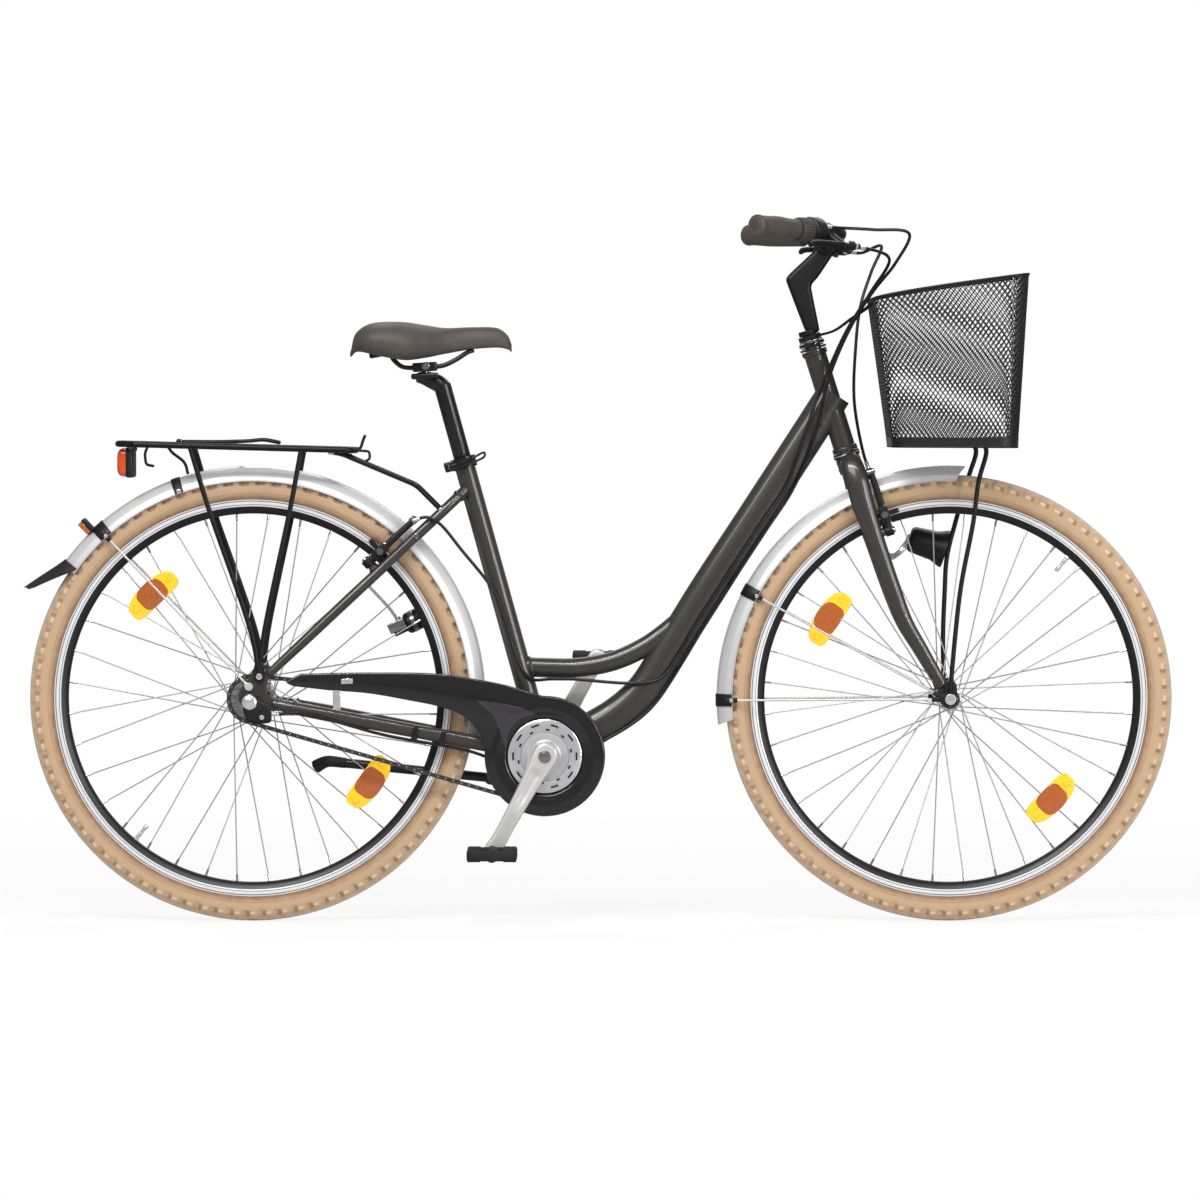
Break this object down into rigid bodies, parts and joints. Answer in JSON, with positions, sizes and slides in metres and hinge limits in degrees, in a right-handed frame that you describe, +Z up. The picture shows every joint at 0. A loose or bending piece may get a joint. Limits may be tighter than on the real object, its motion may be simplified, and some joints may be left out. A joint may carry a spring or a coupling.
{
  "type": "step-through bicycle",
  "caption": "Step-through city bicycle with fenders, rear rack, front basket, rim brakes, dynamo and lights, twist shifter, chain guard, side stand and padded saddle.",
  "frame": {"origin": "on the ground, midway between the tip of the rear mudflap and the front of the front tyre, in the middle plane of the wheels", "axes": "+X points the way the bicycle rides, +Y to the rider's left, +Z up"},
  "size_m": [1.8013, 0.6156, 1.1015],
  "materials": {
    "frame_paint": "glossy dark grey-brown enamel with a fine metallic fleck",
    "black_metal": "satin black paint over steel",
    "black_plastic": "moulded black plastic with a soft sheen",
    "black_rubber": "matt black rubber",
    "grip_rubber": "matt grey-brown grip with stitched grooves",
    "seat_cover": "grained grey-brown saddle cover",
    "tyre": "tan rubber with a moulded tread",
    "rim": "bright aluminium with a brushed braking track",
    "bright_steel": "polished silver steel",
    "alloy": "lightly brushed forged aluminium",
    "chain_steel": "dark oiled steel",
    "basket_wire": "black coated wire mesh",
    "red_lens": "clear red-orange lens"
  },
  "bodies": {
    "frame": {"head_tube": "frame_paint", "down_tube": "frame_paint", "cross_tube": "frame_paint", "seat_tube": "frame_paint", "bottom_bracket_shell": "frame_paint", "seat_stays": "frame_paint", "chain_stays": "frame_paint", "rear_axle": "bright_steel", "gear_box": "bright_steel", "seat_clamp": "black_metal", "chain": "chain_steel", "chain_guard": "black_plastic", "rear_fender": "bright_steel", "mudflap": "black_rubber", "rear_fender_stays": "bright_steel", "rear_rack": "black_metal", "tail_light": "red_lens", "gear_cable": "black_rubber", "rear_brake_cable": "black_rubber"},
    "steering": {"fork": "frame_paint", "headset_nut": "black_metal", "stem": "black_metal", "handlebar": "black_metal", "grip_right": "grip_rubber", "grip_left": "grip_rubber", "brake_lever_mount_right": "black_plastic", "brake_lever_mount_left": "black_plastic", "front_axle": "bright_steel", "front_fender": "bright_steel", "front_fender_stays": "bright_steel", "basket": "basket_wire", "basket_carrier": "black_metal", "front_brake_cable": "black_rubber"},
    "front_wheel": {"front_tyre": "tyre", "front_rim": "rim", "front_spokes": "bright_steel"},
    "rear_wheel": {"rear_tyre": "tyre", "rear_rim": "rim", "rear_spokes": "bright_steel"},
    "cranks": {"crank_right": "alloy", "crank_left": "alloy", "chainring": "chain_steel"},
    "right_pedal": {"pedal_right": "black_plastic"},
    "left_pedal": {"pedal_left": "black_plastic"},
    "sprocket": {"rear_sprocket": "chain_steel"},
    "shifter": {"twist_shifter": "black_rubber"},
    "right_lever": {"brake_lever_right": "black_plastic"},
    "left_lever": {"brake_lever_left": "black_plastic"},
    "front_right_arm": {"front_brake_arm_right": "black_metal"},
    "front_left_arm": {"front_brake_arm_left": "black_metal"},
    "rear_right_arm": {"rear_brake_arm_right": "black_metal"},
    "rear_left_arm": {"rear_brake_arm_left": "black_metal"},
    "seat": {"seat_post": "black_metal", "saddle_rails": "black_metal", "saddle": "seat_cover"},
    "clamp_lever": {"seat_clamp_lever": "black_metal"},
    "stand": {"kickstand": "black_metal"},
    "clip": {"rack_clip": "black_metal"},
    "lamp": {"headlight": "black_plastic"},
    "generator": {"dynamo": "black_plastic"}
  },
  "joints": [
    {"name": "steering", "type": "hinge", "parent": "frame", "child": "steering", "pos_m": [0.387, 0, 0.7387], "axis": [-0.3007, 0, 0.9537], "range_deg": [-60, 60], "deforming": ["gear_cable", "rear_brake_cable"]},
    {"name": "front_wheel_spin", "type": "hinge", "parent": "steering", "child": "front_wheel", "pos_m": [0.5495, 0, 0.351], "axis": [0, 1, 0], "continuous": true},
    {"name": "rear_wheel_spin", "type": "hinge", "parent": "frame", "child": "rear_wheel", "pos_m": [-0.5455, 0, 0.351], "axis": [0, 1, 0], "continuous": true},
    {"name": "crank_spin", "type": "hinge", "parent": "frame", "child": "cranks", "pos_m": [-0.0859, 0, 0.2613], "axis": [0, 1, 0], "continuous": true},
    {"name": "sprocket_spin", "type": "hinge", "parent": "frame", "child": "sprocket", "pos_m": [-0.5455, 0, 0.351], "axis": [0, 1, 0], "continuous": true},
    {"name": "right_pedal_spin", "type": "hinge", "parent": "cranks", "child": "right_pedal", "pos_m": [-0.16754, -0.126, 0.11219], "axis": [0, 1, 0], "continuous": true},
    {"name": "left_pedal_spin", "type": "hinge", "parent": "cranks", "child": "left_pedal", "pos_m": [-0.00426, 0.126, 0.41041], "axis": [0, 1, 0], "continuous": true},
    {"name": "shift_twist", "type": "hinge", "parent": "steering", "child": "shifter", "pos_m": [0.32072, -0.19702, 1.08106], "axis": [-0.6288, -0.7765, 0.04], "range_deg": [0, 100]},
    {"name": "right_lever_pull", "type": "hinge", "parent": "steering", "child": "right_lever", "pos_m": [0.37767, -0.18862, 1.05687], "axis": [-0.4101, 0.2876, -0.8655], "range_deg": [0, 14], "stiffness_Nm_per_rad": 1},
    {"name": "left_lever_pull", "type": "hinge", "parent": "steering", "child": "left_lever", "pos_m": [0.37767, 0.18862, 1.05687], "axis": [0.4101, 0.2876, 0.8655], "range_deg": [0, 14], "stiffness_Nm_per_rad": 1},
    {"name": "front_right_arm_close", "type": "hinge", "parent": "steering", "child": "front_right_arm", "pos_m": [0.45435, -0.04, 0.61487], "axis": [-0.9537, 0, -0.3007], "range_deg": [0, 3.21]},
    {"name": "front_left_arm_close", "type": "hinge", "parent": "steering", "child": "front_left_arm", "pos_m": [0.45435, 0.04, 0.61487], "axis": [0.9537, 0, 0.3007], "range_deg": [0, 3.21]},
    {"name": "rear_right_arm_close", "type": "hinge", "parent": "frame", "child": "rear_right_arm", "pos_m": [-0.36323, -0.04, 0.56437], "axis": [-0.6834, 0, 0.73], "range_deg": [0, 3.21]},
    {"name": "rear_left_arm_close", "type": "hinge", "parent": "frame", "child": "rear_left_arm", "pos_m": [-0.36323, 0.04, 0.56437], "axis": [0.6834, 0, -0.73], "range_deg": [0, 3.21]},
    {"name": "seat_height", "type": "slide", "parent": "frame", "child": "seat", "axis": [-0.2677, 0, 0.9635], "range_m": [-0.1, 0.08]},
    {"name": "clamp_lever_open", "type": "hinge", "parent": "frame", "child": "clamp_lever", "pos_m": [-0.23866, -0.0173, 0.71392], "axis": [0.2677, 0, -0.9635], "range_deg": [0, 150]},
    {"name": "stand_swing", "type": "hinge", "parent": "frame", "child": "stand", "pos_m": [-0.172, 0.043, 0.2227], "axis": [-0.0052, -0.9987, -0.0509], "range_deg": [0, 104]},
    {"name": "clip_lift", "type": "hinge", "parent": "frame", "child": "clip", "pos_m": [-0.66, 0, 0.7542], "axis": [0, -1, 0], "range_deg": [0, 60], "stiffness_Nm_per_rad": 0.2},
    {"name": "lamp_tilt", "type": "hinge", "parent": "steering", "child": "lamp", "pos_m": [0.493, 0.078, 0.6], "axis": [0, 1, 0], "range_deg": [-10, 15]},
    {"name": "dynamo_swing", "type": "hinge", "parent": "frame", "child": "generator", "pos_m": [-0.31263, 0.042, 0.46207], "axis": [-0.4305, 0, 0.9026], "range_deg": [0, 7]}
  ],
  "couplings": [
    {"joint": "sprocket_spin", "follows": "crank_spin", "ratio": 2.1111},
    {"joint": "rear_right_arm_close", "follows": "right_lever_pull", "ratio": 0.2286},
    {"joint": "rear_left_arm_close", "follows": "right_lever_pull", "ratio": 0.2286},
    {"joint": "front_right_arm_close", "follows": "left_lever_pull", "ratio": 0.2286},
    {"joint": "front_left_arm_close", "follows": "left_lever_pull", "ratio": 0.2286}
  ]
}
